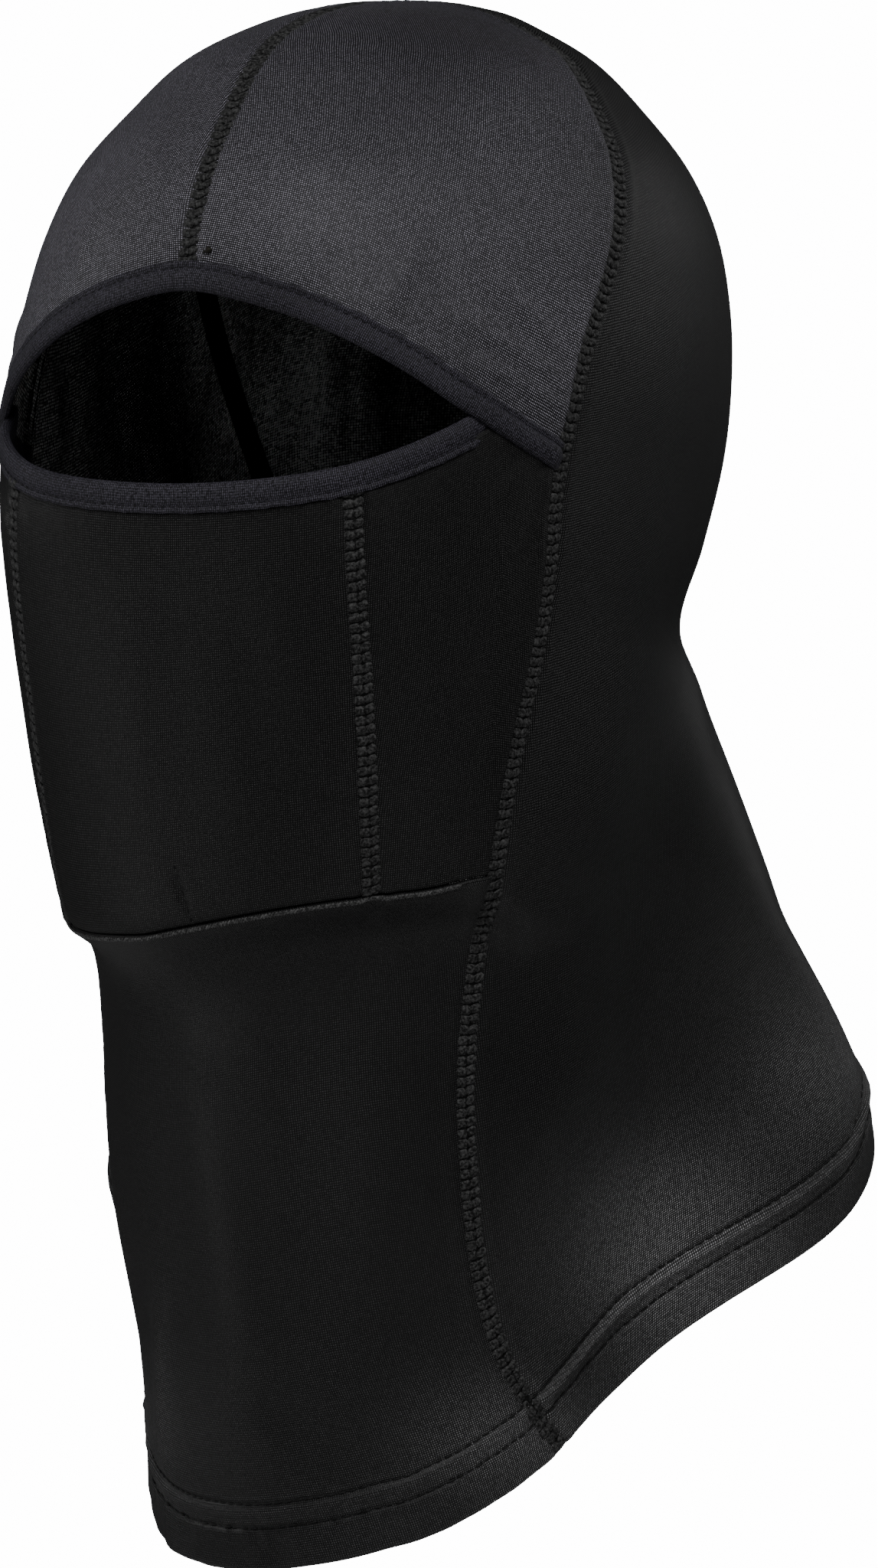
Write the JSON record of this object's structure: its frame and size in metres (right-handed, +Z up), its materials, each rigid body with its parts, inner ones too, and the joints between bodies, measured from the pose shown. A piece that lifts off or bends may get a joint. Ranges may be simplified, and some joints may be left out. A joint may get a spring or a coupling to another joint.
{
  "type": "ski balaclava",
  "caption": "Stretch-knit ski hood with flat seams, bound eye opening, pull-down face mask, long front bib and a hem that flares over the shoulders.",
  "frame": {"origin": "top of the crown, straight above the middle of the head", "axes": "+Z up, -Y the way the wearer faces, +X the wearer's left"},
  "size_m": [0.206, 0.1975, 0.3711],
  "materials": {
    "knit_crown": "charcoal fine-knit stretch fabric with a satin sheen",
    "knit_body": "black fine-knit stretch fabric, satin, brushed inside",
    "knit_mask": "black fine-knit stretch fabric, a little more matt",
    "binding": "navy-black folded elastic binding with a fine rib",
    "seam_thread": "bulky dark grey flatlock thread",
    "fine_thread": "fine dark grey sewing thread",
    "tape": "flat black tape"
  },
  "bodies": {
    "hood": {"crown_front_left": "knit_crown", "crown_front_right": "knit_crown", "back_left": "knit_body", "back_right": "knit_body", "neck_front": "knit_body", "hem_facing_front": "knit_body", "hem_facing_left": "knit_body", "hem_facing_right": "knit_body", "chin_turning": "knit_body", "mask_centre": "knit_mask", "mask_cheek_left": "knit_mask", "mask_cheek_right": "knit_mask", "brow_binding": "binding", "centre_front_seam": "seam_thread", "centre_back_seam": "seam_thread", "side_seam_left": "seam_thread", "side_seam_right": "seam_thread", "cheek_seam_left": "seam_thread", "cheek_seam_right": "seam_thread", "chin_dart": "seam_thread", "seam_thread_knot": "seam_thread", "brow_binding_stitching": "fine_thread", "hem_stitching_lower": "fine_thread", "hem_stitching_upper": "fine_thread", "inner_tape": "tape"},
    "mask_edge": {"mask_binding": "binding", "mask_binding_stitching": "fine_thread"}
  },
  "joints": [
    {"name": "mask_pull_down", "type": "slide", "parent": "hood", "child": "mask_edge", "axis": [0, 0, -1], "range_m": [0, 0.06], "deforming": ["mask_centre", "mask_cheek_left", "mask_cheek_right", "cheek_seam_left", "cheek_seam_right"]}
  ]
}
